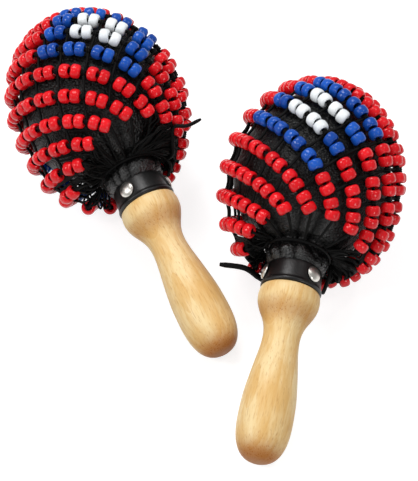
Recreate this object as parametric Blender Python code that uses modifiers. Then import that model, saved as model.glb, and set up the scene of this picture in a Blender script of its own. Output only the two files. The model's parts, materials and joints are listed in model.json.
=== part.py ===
"""A pair of beaded maracas, lying side by side on a table.

Each maraca is a rawhide ball on a turned wooden handle. A band and three tacks hold the neck of the
ball on the handle's tenon, and a net of bead strings hangs round the ball, drawn in at the neck by a
cord. A maraca is modelled about its own axis: local +Z runs from the handle to the head, the origin
is the middle of the ball, and local +Y is the side that lies on the table. Angles round the axis are
measured from the upper side, towards the right as seen from the handle.
"""

import math
from typing import NamedTuple

import bmesh
import bpy
from mathutils import Matrix, Vector

MM = 0.001
GAP = 0.3 * MM

# Rawhide ball: a ball drawn in towards its neck
HEAD_RADIUS = 47 * MM
HEAD_HALF_LENGTH = 58 * MM
HEAD_WALL = 2 * MM
HEAD_DRAW = 0.44
HEAD_STEPS = 20
OUTER_ANGLES = (180, 160, 138, 116, 95, 77, 61, 49, 42)
INNER_ANGLES = (50, 75, 105, 140, 180)

# Neck of the ball: a crease that takes the draw cord, and a pleated skirt below it
NECK_RADIUS = 14.8 * MM
NECK_BORE = 13.2 * MM
BORE_TOP_Z = -46.5 * MM
CREASE_TOP_RADIUS = 18 * MM
CREASE_TOP_Z = -45.2 * MM
CREASE_RADIUS = 17.4 * MM
CREASE_FOOT_Z = -48.6 * MM
SKIRT_RADIUS = 18.3 * MM
SKIRT_Z = -53 * MM
SKIRT_FOOT_RADIUS = 17.6 * MM
SKIRT_FOOT_Z = -57.2 * MM
PLEATS = 10
PLEAT_DEPTH = 1.1 * MM
PLEAT_REACH = 4.2 * MM

# Band round the neck
RIM_Z = -73.9 * MM
BAND_HEIGHT = 15 * MM
BAND_BORE = 15.3 * MM
BAND_TOP_RADIUS = 16.4 * MM
BAND_FOOT_RADIUS = 17.6 * MM
BAND_LIP = 0.8 * MM
BAND_LIP_HEIGHT = 3 * MM
BAND_EDGE = 0.8 * MM

# Handle: distance from the rim and radius of each station
TENON_RADIUS = 12.9 * MM
TENON_TOP_Z = -51 * MM
TENON_EDGE = 1 * MM
HANDLE_STATIONS = (
    (0, 17.9),
    (4, 18.5),
    (9, 18.1),
    (14, 16.2),
    (19, 13.6),
    (24, 11.8),
    (30, 11.0),
    (38, 11.5),
    (48, 13.05),
    (58, 14.55),
    (69, 15.8),
)
BULB_DISTANCE = 80 * MM
BULB_RADIUS = 16.2 * MM
BULB_END_LENGTH = 27.8 * MM
BULB_BLUNTNESS = 2.6
BULB_END_ANGLES = (0, 15, 35, 55, 76)
HANDLE_STEPS = 16

# Tacks
TACKS = 3
TACK_RADIUS = 4.9 * MM
TACK_CROWN = 1.7 * MM
TACK_CUP = 0.2 * MM
TACK_SHANK = 0.8 * MM
TACK_LENGTH = 7 * MM
TACK_HOLE = 1.2 * MM
TACK_Z = -65 * MM
TACK_STEPS = 8

# Bead net
STRINGS = 14
ROWS = 11
BEAD_RADIUS = 4.8 * MM
BEAD_LENGTH = 6.4 * MM
BEAD_WAIST = 3.2 * MM
BEAD_SIDES = 5
CORD_RADIUS = 1 * MM
NET_RADIUS = 52.8 * MM
NET_HALF_LENGTH = 64.5 * MM
FIRST_ROW = math.radians(42.9)
ROW_STEP = math.radians(10.71)
ROW_SPREAD = math.radians(-0.15)
SPREAD_ROW = 4
CROWN_ANGLE = math.radians(168)
CROWN_POINTS = 14

# Draw cord round the neck and its two tails
TIE_TURNS = 1
TIE_PITCH = 2.7 * MM
TIE_TOP_Z = -46.4 * MM
TIE_RADIUS = 19.4 * MM
TIE_POINTS_PER_TURN = 20
TAIL_STEP = 2.5

# Seeds inside, which lie at the lowest place of the wall
SEEDS = 4
SEED_RADIUS = 3 * MM
SEED_CIRCLE = 37.2 * MM
SEED_Z = -15 * MM
SEED_SPACING = math.radians(10)

REST_ROUNDS = 24
REST_TILTS = (0.0, math.radians(40))

# Colours of a string's beads by row: motif strings repeat round the net with plain ones between
MOTIF_PERIOD = 7
MOTIF = {
    6: {2: "blue", 3: "blue", 4: "blue", 5: "blue"},
    0: {3: "blue", 4: "white", 5: "white", 6: "blue"},
    1: {4: "blue", 5: "white", 6: "white", 7: "blue"},
    2: {5: "blue", 6: "blue", 7: "blue", 8: "blue"},
}


class Tail(NamedTuple):
    """A free end of the draw cord: its radius and its route as (distance from axis, degrees, z) in mm."""

    radius: float
    route: tuple


class Maraca(NamedTuple):
    """Where one maraca lies, how it is turned and how its net hangs.

    The strings lean by a share of their spacing at each row. The slump turns the net's upper side
    towards its crown, and the sway turns the net sideways. The two draws say how far the net is drawn
    in towards the neck at the sides, first on the left as seen from the handle, and are less than zero
    where it hangs loose.
    """

    side: str
    head_x: float
    head_y: float
    yaw: float
    net_turn: float
    net_lean: float
    net_slump: float
    net_sway: float
    net_draws: tuple
    tack_turn: float
    tie_turn: float
    tails: tuple


PAIR = (
    Maraca(
        side="right",
        head_x=67.25 * MM,
        head_y=21.9 * MM,
        yaw=math.radians(11.6),
        net_turn=math.radians(53.4),
        net_lean=0.498,
        net_slump=math.radians(-15.9),
        net_sway=math.radians(-4.1),
        net_draws=(-0.15, -0.25),
        tack_turn=math.radians(47),
        tie_turn=math.radians(100),
        tails=(
            Tail(
                radius=1.6 * MM,
                route=(
                    (21.9, -162, -51.5),
                    (21.6, -161, -57),
                    (22, -152, -61),
                    (23, -138, -62),
                    (24.5, -117, -62),
                    (30.5, -97.5, -60.8),
                    (45, -91, -62.4),
                ),
            ),
            Tail(
                radius=1.1 * MM,
                route=(
                    (21.9, 112, -50.6),
                    (22.2, 117, -57),
                    (23.2, 127, -61.6),
                    (25.3, 136, -62.4),
                    (27.4, 138.5, -58),
                    (28.9, 138, -50.4),
                ),
            ),
        ),
    ),
    Maraca(
        side="left",
        head_x=-64.75 * MM,
        head_y=85.5 * MM,
        yaw=math.radians(-26.5),
        net_turn=math.radians(73.5),
        net_lean=0.583,
        net_slump=math.radians(-21.7),
        net_sway=math.radians(0),
        net_draws=(-0.5, 0.1),
        tack_turn=math.radians(79),
        tie_turn=math.radians(60),
        tails=(
            Tail(
                radius=1.1 * MM,
                route=(
                    (21.9, 70, -49.8),
                    (25, 67, -53),
                    (29.5, 58.5, -53.2),
                    (34.5, 49.5, -48.5),
                    (40.8, 45, -43.5),
                    (47.9, 49, -47),
                    (55.3, 56.5, -45.5),
                ),
            ),
            Tail(
                radius=1.1 * MM,
                route=(
                    (21.9, 110, -50.5),
                    (24, 103, -51.5),
                    (27.4, 89, -46.2),
                    (31.9, 82, -39.2),
                    (36.1, 80.5, -35.6),
                    (40.8, 85.5, -41.3),
                ),
            ),
        ),
    ),
)


def clear_scene():
    """Removes what the scene starts with."""
    for obj in list(bpy.data.objects):
        bpy.data.objects.remove(obj)


def new_collection(name):
    """Returns a new collection in the scene."""
    made = bpy.data.collections.new(name)
    bpy.context.scene.collection.children.link(made)
    return made


def new_material(name, colour, roughness, metallic=0.0):
    """Returns a plain material of one linear colour."""
    made = bpy.data.materials.new(name)
    made.use_nodes = True
    shader = made.node_tree.nodes["Principled BSDF"]
    shader.inputs["Base Color"].default_value = (*colour, 1)
    shader.inputs["Roughness"].default_value = roughness
    shader.inputs["Metallic"].default_value = metallic
    return made


def new_empty(name, collection, parent=None):
    """Returns an empty that carries the pieces of one body."""
    made = bpy.data.objects.new(name, None)
    collection.objects.link(made)
    made.parent = parent
    return made


def new_object(name, data, collection, parent, materials):
    """Returns a new object with its materials, under its parent."""
    made = bpy.data.objects.new(name, data)
    collection.objects.link(made)
    made.parent = parent
    for material in materials:
        made.data.materials.append(material)
    return made


def as_mesh(obj):
    """Turns a curve or a modified mesh into a plain mesh of the same name and place, caps welded."""
    bpy.context.view_layer.update()
    graph = bpy.context.evaluated_depsgraph_get()
    data = bpy.data.meshes.new_from_object(obj.evaluated_get(graph))
    made = bpy.data.objects.new("plain", data)
    for collection in obj.users_collection:
        collection.objects.link(made)
    made.parent = obj.parent
    made.location = obj.location
    made.rotation_euler = obj.rotation_euler
    name = obj.name
    bpy.data.objects.remove(obj)
    made.name = name
    work = bmesh.new()
    work.from_mesh(data)
    bmesh.ops.remove_doubles(work, verts=work.verts, dist=0.01 * MM)
    bmesh.ops.recalc_face_normals(work, faces=work.faces)
    work.to_mesh(data)
    work.free()
    return made


def shade_round(obj, angle=math.radians(40)):
    """Shades a mesh smooth, with sharp edges above an angle."""
    obj.data.shade_smooth()
    obj.data.set_sharp_from_angle(angle=angle)


def turned(name, profile, steps, collection, parent, material, ring=False):
    """Returns a turned piece: a profile of (radius, z), run from top to bottom, swept round local Z."""
    data = bpy.data.meshes.new(name)
    edges = [(n, n + 1) for n in range(len(profile) - 1)]
    if ring:
        edges.append((len(profile) - 1, 0))
    data.from_pydata([(radius, 0, z) for radius, z in profile], edges, [])
    made = new_object(name, data, collection, parent, [material])
    screw = made.modifiers.new("Screw", "SCREW")
    screw.steps = steps
    screw.render_steps = steps
    screw.use_merge_vertices = True
    screw.merge_threshold = 0.01 * MM
    made = as_mesh(made)
    shade_round(made)
    return made


def tube(name, points, radii, collection, parent, materials, resolution, cyclic=False, section=None):
    """Returns a tube through points, with a radius at each, round or of a given section."""
    data = bpy.data.curves.new(name, "CURVE")
    data.dimensions = "3D"
    data.use_fill_caps = not cyclic
    if section:
        data.bevel_mode = "OBJECT"
        data.bevel_object = section
    else:
        data.bevel_depth = 1
        data.bevel_resolution = resolution
    spline = data.splines.new("POLY")
    spline.points.add(len(points) - 1)
    for place, point, radius in zip(spline.points, points, radii):
        place.co = (*point, 1)
        place.radius = radius
    spline.use_cyclic_u = cyclic
    return new_object(name, data, collection, parent, materials)


def smooth_line(points, spacing):
    """Returns points about this far apart along a smooth curve through the given ones."""
    held = [2 * points[0] - points[1], *points, 2 * points[-1] - points[-2]]
    line = [points[0]]
    for before, start, end, after in zip(held, held[1:], held[2:], held[3:]):
        count = max(1, round((end - start).length / spacing))
        for n in range(1, count + 1):
            t = n / count
            line.append(
                0.5
                * (
                    2 * start
                    + (end - before) * t
                    + (2 * before - 5 * start + 4 * end - after) * t**2
                    + (3 * start - before - 3 * end + after) * t**3
                )
            )
    return line


def round_axis(radius, angle, z):
    """Returns the local point at a distance from the axis, an angle from the upper side, and a height."""
    return Vector((radius * math.sin(angle), -radius * math.cos(angle), z))


def drawn_radius(full, angle, draw):
    """Returns the radius of a ball drawn in towards its neck, at an angle from the neck."""
    towards_neck = max(0.0, math.cos(angle))
    return full * math.sin(angle) * (1 - draw * towards_neck**2)


def ball_profile(angles, inset):
    """Returns (radius, z) of the ball's outline at angles in degrees from the neck, set in by a wall."""
    outline = []
    for degrees in angles:
        angle = math.radians(degrees)
        radius = drawn_radius(HEAD_RADIUS - inset, angle, HEAD_DRAW)
        outline.append((max(radius, 0.0), -(HEAD_HALF_LENGTH - inset) * math.cos(angle)))
    outline = [(radius if radius > 0.01 * MM else 0.0, z) for radius, z in outline]
    return outline


def net_point(maraca, row, string):
    """Returns the local point on the net where a string passes a row, which need not be whole."""
    polar = FIRST_ROW + ROW_STEP * row + ROW_SPREAD * (row - SPREAD_ROW) ** 2
    turn = maraca.net_turn + (string - maraca.net_lean * row) * 2 * math.pi / STRINGS
    return net_surface(maraca, polar, turn)


def net_surface(maraca, polar, turn):
    """Returns the local point on the net at an angle from its neck and an angle round it."""
    way = Vector((math.sin(polar) * math.sin(turn), -math.sin(polar) * math.cos(turn), -math.cos(polar)))
    slump = maraca.net_slump * (1 + min(0.0, math.cos(turn)) * max(0.0, math.cos(polar)))
    way = Matrix.Rotation(maraca.net_sway, 3, "Y") @ Matrix.Rotation(slump, 3, "X") @ way
    from_neck = math.acos(max(-1.0, min(1.0, -way.z)))
    around = math.atan2(way.x, -way.y)
    draw = maraca.net_draws[0 if around < 0 else 1] * (1 - abs(math.cos(around)))
    radius = drawn_radius(NET_RADIUS, from_neck, draw)
    return round_axis(radius, around, -NET_HALF_LENGTH * math.cos(from_neck))


def bead_middles(maraca, string):
    """Returns the middles of a string's bead pairs and the way the string runs there."""
    found = []
    for row in range(ROWS):
        nudge = 0.05
        along = net_point(maraca, row + nudge, string) - net_point(maraca, row - nudge, string)
        found.append((net_point(maraca, row, string), along.normalized()))
    return found


def rest_pose(net, handle):
    """Returns the height of the ball's middle and the tilt at which the net and the bulb lie on the table."""
    net_points = [vertex.co for piece in net for vertex in piece.data.vertices]
    handle_points = [vertex.co for vertex in handle.data.vertices]
    least, most = REST_TILTS
    for _ in range(REST_ROUNDS):
        tilt = (least + most) / 2
        height, bulb = (
            max(p.y * math.cos(tilt) - p.z * math.sin(tilt) for p in points)
            for points in (net_points, handle_points)
        )
        if bulb > height:
            most = tilt
        else:
            least = tilt
    return height, tilt


def make_handle(maraca, collection, parent, material):
    """The wooden handle: a tenon, a shoulder, a slim waist and a bulb with a small flat end."""
    profile = [
        (0, TENON_TOP_Z),
        (TENON_RADIUS - TENON_EDGE, TENON_TOP_Z),
        (TENON_RADIUS, TENON_TOP_Z - TENON_EDGE),
        (TENON_RADIUS, RIM_Z),
    ]
    profile += [(radius * MM, RIM_Z - distance * MM) for distance, radius in HANDLE_STATIONS]
    for degrees in BULB_END_ANGLES:
        angle = math.radians(degrees)
        out = BULB_RADIUS * math.cos(angle) ** (2 / BULB_BLUNTNESS)
        down = BULB_END_LENGTH * math.sin(angle) ** (2 / BULB_BLUNTNESS)
        profile.append((out, RIM_Z - BULB_DISTANCE - down))
    profile.append((0, profile[-1][1]))
    return turned(f"{maraca.side}_handle", profile, HANDLE_STEPS, collection, parent, material)


def make_head(maraca, collection, parent, material):
    """The hollow rawhide ball, open at its neck, drawn in at a crease and pleated below it."""
    foot = RIM_Z + GAP
    profile = ball_profile(OUTER_ANGLES, 0)
    profile += [
        (CREASE_TOP_RADIUS, CREASE_TOP_Z),
        (CREASE_RADIUS, CREASE_FOOT_Z),
        (SKIRT_RADIUS, SKIRT_Z),
        (SKIRT_FOOT_RADIUS, SKIRT_FOOT_Z),
        (NECK_RADIUS, RIM_Z + BAND_HEIGHT),
        (NECK_RADIUS, foot),
        (NECK_BORE, foot),
        (NECK_BORE, BORE_TOP_Z),
    ]
    profile += ball_profile(INNER_ANGLES, HEAD_WALL)
    made = turned(f"{maraca.side}_rawhide_head", profile, HEAD_STEPS, collection, parent, material)
    for vertex in made.data.vertices:
        x, y, z = vertex.co
        radius = math.hypot(x, y)
        near = 1 - abs(z - SKIRT_Z) / PLEAT_REACH
        if near <= 0 or radius < NECK_RADIUS + GAP:
            continue
        fold = PLEAT_DEPTH * near * math.cos(PLEATS * math.atan2(y, x))
        vertex.co = (x * (1 + fold / radius), y * (1 + fold / radius), z)
    return made


def make_band(maraca, collection, parent, material):
    """The band that clamps the ball's neck, with a rolled lip at its foot."""
    foot = RIM_Z + GAP
    top = foot + BAND_HEIGHT
    lip = foot + BAND_LIP_HEIGHT
    lip_radius = BAND_FOOT_RADIUS + BAND_LIP
    profile = [
        (BAND_TOP_RADIUS - BAND_EDGE / 2, top),
        (BAND_TOP_RADIUS, top - BAND_EDGE),
        (BAND_FOOT_RADIUS, lip + BAND_EDGE),
        (lip_radius, lip),
        (lip_radius, foot + BAND_EDGE),
        (lip_radius - BAND_EDGE, foot),
        (BAND_BORE, foot),
        (BAND_BORE, top),
    ]
    return turned(f"{maraca.side}_neck_band", profile, HEAD_STEPS, collection, parent, material, ring=True)


def band_slope():
    """Returns how much the band narrows per unit of height between its lip and its top edge."""
    return (BAND_FOOT_RADIUS - BAND_TOP_RADIUS) / (BAND_HEIGHT - BAND_LIP_HEIGHT - 2 * BAND_EDGE)


def band_radius(z):
    """Returns the band's outer radius at a height between its lip and its top edge."""
    return BAND_FOOT_RADIUS - band_slope() * (z - RIM_Z - BAND_LIP_HEIGHT - BAND_EDGE)


def make_tacks(maraca, collection, cutters, parent, material, drilled):
    """The domed tacks, driven through the band and the neck into the tenon."""
    profile = [
        (0, TACK_CROWN),
        (TACK_RADIUS * 0.65, TACK_CROWN * 0.7),
        (TACK_RADIUS, -TACK_CUP),
        (TACK_SHANK, 0),
        (TACK_SHANK, -TACK_LENGTH),
        (0, -TACK_LENGTH - TACK_SHANK),
    ]
    for number in range(TACKS):
        around = maraca.tack_turn + number * 2 * math.pi / TACKS
        seat = round_axis(band_radius(TACK_Z) + 2 * GAP, around, TACK_Z)
        outward = round_axis(1, around, band_slope())
        turn = outward.to_track_quat("Z", "Y").to_euler()
        name = f"{maraca.side}_tack_{number + 1}"
        tack = turned(name, profile, TACK_STEPS, collection, parent, material)
        tack.location = seat
        tack.rotation_euler = turn
        depth = 2 * TACK_LENGTH + 4 * MM
        bpy.ops.mesh.primitive_cylinder_add(vertices=TACK_STEPS, radius=TACK_HOLE, depth=depth)
        drill = bpy.context.object
        drill.name = f"{name}_drill"
        drill.users_collection[0].objects.unlink(drill)
        cutters.objects.link(drill)
        drill.parent = parent
        drill.location = seat
        drill.rotation_euler = turn
        drill.hide_render = True
        drill.display_type = "WIRE"
        for piece in drilled:
            cut = piece.modifiers.new("Tack hole", "BOOLEAN")
            cut.object = drill


def make_strings(maraca, collection, parent, section, materials):
    """Returns the bead strings, each a cord from draw cord to crown ring with pairs of beads on it."""
    names = list(materials)
    crown_reach = (CORD_RADIUS * 0.9 + GAP) / NET_RADIUS
    strings = []
    for string in range(STRINGS):
        middles = bead_middles(maraca, string)
        first = middles[0][0] - middles[0][1] * BEAD_LENGTH * 1.3
        around = math.atan2(first.x, -first.y)
        wound = (around - maraca.tie_turn) % (2 * math.pi) / (2 * math.pi)
        tie_z = TIE_TOP_Z - TIE_PITCH * wound
        tie = round_axis(TIE_RADIUS + 2 * CORD_RADIUS + GAP, around, tie_z)
        turn = maraca.net_turn + (string - maraca.net_lean * ROWS) * 2 * math.pi / STRINGS
        crown = net_surface(maraca, CROWN_ANGLE - crown_reach, turn)
        points = [tie, middles[0][0] - middles[0][1] * BEAD_LENGTH]
        radii = [CORD_RADIUS, CORD_RADIUS]
        for row, (middle, along) in enumerate(middles):
            for step, radius in ((-0.55, BEAD_RADIUS), (0, BEAD_WAIST), (0.55, BEAD_RADIUS)):
                points.append(middle + along * step * BEAD_LENGTH)
                radii.append(radius)
            past = middle + along * BEAD_LENGTH
            points.append(past if row == ROWS - 1 else net_point(maraca, row + 0.5, string))
            radii.append(CORD_RADIUS)
        points.append(crown)
        radii.append(CORD_RADIUS)
        made = tube(
            f"{maraca.side}_bead_string_{string + 1:02d}",
            points,
            radii,
            collection,
            parent,
            materials.values(),
            resolution=1,
            section=section,
        )
        made = as_mesh(made)
        motif = MOTIF.get(string % MOTIF_PERIOD, {})
        for face in made.data.polygons:
            distances = [(face.center - middle).length for middle, _ in middles]
            row = distances.index(min(distances))
            on_bead = distances[row] < BEAD_LENGTH * 1.05
            face.material_index = names.index(motif.get(row, "red") if on_bead else "cord")
        shade_round(made, math.radians(80))
        strings.append(made)
    return strings


def make_crown(maraca, collection, parent, section, material):
    """The cord ring at the far end of the net that the strings are knotted to."""
    turns = [2 * math.pi * n / CROWN_POINTS for n in range(CROWN_POINTS)]
    points = [net_surface(maraca, CROWN_ANGLE, turn) for turn in turns]
    radii = [CORD_RADIUS] * CROWN_POINTS
    name = f"{maraca.side}_net_crown_ring"
    made = tube(name, points, radii, collection, parent, [material], 1, cyclic=True, section=section)
    shade_round(as_mesh(made), math.radians(80))


def make_tie(maraca, collection, parent, material):
    """The draw cord, laid in the crease, and its tails; prints the cord's least gap to itself."""
    count = round(TIE_TURNS * TIE_POINTS_PER_TURN)
    points = []
    for n in range(count + 1):
        turned_by = 2 * math.pi * n / TIE_POINTS_PER_TURN
        z = TIE_TOP_Z - TIE_PITCH * n / TIE_POINTS_PER_TURN
        points.append(round_axis(TIE_RADIUS, maraca.tie_turn + turned_by, z))
    for end, before in ((0, 1), (-1, -2)):
        straight = (points[end] - points[before]).normalized() * 2 * CORD_RADIUS
        points.insert(0 if end == 0 else len(points), points[end] + straight)
    apart = TIE_POINTS_PER_TURN // 2
    least = min((a - b).length for n, a in enumerate(points) for b in points[n + apart :])
    print(f"{maraca.side}_neck_tie: least gap to itself {(least - 2 * CORD_RADIUS) / MM:.2f} mm")
    radii = [CORD_RADIUS] * len(points)
    made = tube(f"{maraca.side}_neck_tie", points, radii, collection, parent, [material], 1)
    shade_round(as_mesh(made), math.radians(80))
    for number, tail in enumerate(maraca.tails):
        route = [round_axis(out * MM, math.radians(turn), z * MM) for out, turn, z in tail.route]
        line = smooth_line(route, TAIL_STEP * 2 * tail.radius)
        name = f"{maraca.side}_tie_tail_{number + 1}"
        made = tube(name, line, [tail.radius] * len(line), collection, parent, [material], 2)
        shade_round(as_mesh(made), math.radians(80))


def make_seeds(maraca, collection, parent, material):
    """The seeds that rattle, lying side by side at the lowest place of the ball's wall."""
    for number in range(SEEDS):
        data = bpy.data.meshes.new(f"{maraca.side}_seed_{number + 1}")
        work = bmesh.new()
        bmesh.ops.create_uvsphere(work, u_segments=6, v_segments=4, radius=SEED_RADIUS)
        work.to_mesh(data)
        work.free()
        made = new_object(data.name, data, collection, parent, [material])
        made.location = round_axis(SEED_CIRCLE, math.pi + (number - (SEEDS - 1) / 2) * SEED_SPACING, SEED_Z)
        shade_round(made, math.radians(80))


def bead_section(cutters):
    """Returns the outline that the strings and the crown ring are swept with."""
    data = bpy.data.curves.new("bead_section", "CURVE")
    data.dimensions = "2D"
    spline = data.splines.new("POLY")
    spline.points.add(BEAD_SIDES - 1)
    for number, place in enumerate(spline.points):
        angle = 2 * math.pi * number / BEAD_SIDES
        place.co = (math.cos(angle), math.sin(angle), 0, 1)
    spline.use_cyclic_u = True
    made = bpy.data.objects.new("bead_section", data)
    cutters.objects.link(made)
    made.hide_render = True
    made.display_type = "WIRE"
    return made


def main():
    """Builds both maracas."""
    clear_scene()
    parts = new_collection("beaded_maracas")
    cutters = new_collection("cutters")
    wood = new_material("lacquered_maple", (0.66, 0.42, 0.18), 0.35)
    rawhide = new_material("black_rawhide", (0.012, 0.012, 0.013), 0.55)
    leather = new_material("black_neck_band", (0.012, 0.012, 0.012), 0.4)
    steel = new_material("nickelled_tack", (0.7, 0.7, 0.68), 0.25, 1.0)
    cord = new_material("black_cord", (0.01, 0.01, 0.01), 0.8)
    seed = new_material("dried_seed", (0.2, 0.1, 0.04), 0.6)
    beads = {
        "red": new_material("red_bead", (0.62, 0.013, 0.02), 0.25),
        "blue": new_material("blue_bead", (0.018, 0.08, 0.42), 0.25),
        "white": new_material("white_bead", (0.82, 0.82, 0.82), 0.25),
        "cord": cord,
    }
    section = bead_section(cutters)
    for maraca in PAIR:
        body = new_empty(f"{maraca.side}_maraca", parts)
        net = new_empty(f"{maraca.side}_bead_net", parts, body)
        fill = new_empty(f"{maraca.side}_seeds", parts, body)
        handle = make_handle(maraca, parts, body, wood)
        head = make_head(maraca, parts, body, rawhide)
        band = make_band(maraca, parts, body, leather)
        make_tacks(maraca, parts, cutters, body, steel, (handle, head, band))
        strings = make_strings(maraca, parts, net, section, beads)
        height, tilt = rest_pose(strings, handle)
        body.location = (maraca.head_x, maraca.head_y, height)
        body.rotation_euler = (tilt - math.pi / 2, 0, -maraca.yaw)
        make_crown(maraca, parts, net, section, cord)
        make_tie(maraca, parts, net, cord)
        make_seeds(maraca, parts, fill, seed)


main()
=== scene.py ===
"""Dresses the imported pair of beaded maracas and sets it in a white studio.

Sizes are in millimetres about a maraca's own axis: local +Z runs from the handle to the head, the
origin is the middle of the rawhide ball, and local +Y is the side that lies on the table. Angles
round the axis are measured from the upper side, towards the right as seen from the handle. Only the
studio is in metres.
"""

import json
import logging
import math
import random
from dataclasses import dataclass, field
from enum import Enum
from typing import Any, Callable, Mapping, Sequence

import bpy
from bpy.types import Material, Node, NodeSocket, NodeTree, Object
from mathutils import Matrix, Vector, noise


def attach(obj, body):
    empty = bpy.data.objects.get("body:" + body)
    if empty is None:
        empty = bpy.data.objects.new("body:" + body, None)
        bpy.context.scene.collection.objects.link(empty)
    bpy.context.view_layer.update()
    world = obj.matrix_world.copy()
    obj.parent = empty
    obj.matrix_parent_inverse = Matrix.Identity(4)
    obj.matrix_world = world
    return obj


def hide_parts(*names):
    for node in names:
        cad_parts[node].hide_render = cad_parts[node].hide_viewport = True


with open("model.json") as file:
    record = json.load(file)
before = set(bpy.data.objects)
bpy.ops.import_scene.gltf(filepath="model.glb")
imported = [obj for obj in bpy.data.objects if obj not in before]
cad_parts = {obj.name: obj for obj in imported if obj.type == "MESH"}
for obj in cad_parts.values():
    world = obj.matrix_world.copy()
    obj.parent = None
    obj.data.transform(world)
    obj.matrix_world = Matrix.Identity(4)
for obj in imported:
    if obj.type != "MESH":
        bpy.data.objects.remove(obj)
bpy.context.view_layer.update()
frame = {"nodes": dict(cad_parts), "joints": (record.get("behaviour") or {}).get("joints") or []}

LOG = logging.getLogger("beaded_maracas")
MM = 0.001
TURN = 2 * math.pi

# Mesh attributes: a point's place in its maraca's own frame, and its tone from 0 to 1.
OWN_PLACE = "own_place"
TONE = "tone"
PLAIN_TONE = 0.5

Key = str | int
Values = Mapping[Key, Any]
Links = Mapping[Key, NodeSocket]
Ring = Sequence[Vector]
Profile = list[tuple[float, float]]
Pairs = tuple[tuple[float, float], ...]


class Side(Enum):
    """Which maraca of the pair a piece belongs to."""

    RIGHT = "right"
    LEFT = "left"


class BeadColour(Enum):
    """The colours the beads are moulded in, in the order of a string's material slots."""

    RED = 0
    BLUE = 1
    WHITE = 2


# Finishes

# A mix node's inputs for its share and its two colours, and the settings that make it mix colours.
SHARE = 0
FIRST = 6
SECOND = 7
COLOURS = {"data_type": "RGBA", "out": 2}
# The setting that eases a map range in and out.
SMOOTH = {"interpolation_type": "SMOOTHSTEP"}


def srgb(code: str) -> tuple[float, float, float, float]:
    """Turns an sRGB hex code into a linear colour.

    Args:
        code: The colour as "#RRGGBB".

    Returns:
        The linear red, green and blue with full alpha.
    """
    parts = [int(code[n : n + 2], 16) / 255 for n in (1, 3, 5)]
    linear = [p / 12.92 if p <= 0.04045 else ((p + 0.055) / 1.055) ** 2.4 for p in parts]
    return (*linear, 1.0)


def per_metre(size_mm: float) -> float:
    """Returns the texture scale at which a pattern's features are this many millimetres wide."""
    return 1 / (size_mm * MM)


def fill(tree: NodeTree, node: Node, values: Values, links: Links) -> None:
    """Sets a node's fixed inputs and links its other ones.

    Args:
        tree: The node's tree.
        node: The node.
        values: Fixed values by input name or number.
        links: Output sockets to link, by input name or number.
    """
    for socket, value in values.items():
        node.inputs[socket].default_value = value
    for socket, source in links.items():
        tree.links.new(source, node.inputs[socket])


def add_node(
    tree: NodeTree,
    kind: str,
    values: Values | None = None,
    links: Links | None = None,
    out: Key = 0,
    **settings: Any,
) -> NodeSocket:
    """Adds a node with its settings, fixed inputs and links.

    Args:
        tree: The node tree that gets the node.
        kind: The node's Blender type after "ShaderNode".
        values: Fixed values by input name or number.
        links: Output sockets to link, by input name or number.
        out: The output that is wanted, by name or number.
        **settings: The node's own properties.

    Returns:
        The new node's output.
    """
    node = tree.nodes.new(f"ShaderNode{kind}")
    for name, value in settings.items():
        setattr(node, name, value)
    fill(tree, node, values or {}, links or {})
    return node.outputs[out]


@dataclass(frozen=True)
class Finish:
    """A surface finish, which makes its material at its first use."""

    name: str

    def material(self) -> Material:
        """Makes the material, if it isn't made yet.

        Returns:
            The finish's material.
        """
        made = bpy.data.materials.get(self.name)
        if made is None:
            made = bpy.data.materials.new(self.name)
            made.use_nodes = True
            self.paint(made.node_tree, made.node_tree.nodes["Principled BSDF"])
        return made

    def place(self, tree: NodeTree) -> NodeSocket:
        """Returns a socket with the surface's place in its maraca's own frame, in metres."""
        return add_node(tree, "Attribute", out="Vector", attribute_name=OWN_PLACE)

    def tone(self, tree: NodeTree) -> NodeSocket:
        """Returns a socket with the surface's own tone, from 0 to 1."""
        return add_node(tree, "Attribute", out="Fac", attribute_name=TONE)

    def paint(self, tree: NodeTree, shader: Node) -> None:
        """Fills the material's node tree, up to its surface shader."""
        raise NotImplementedError


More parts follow.
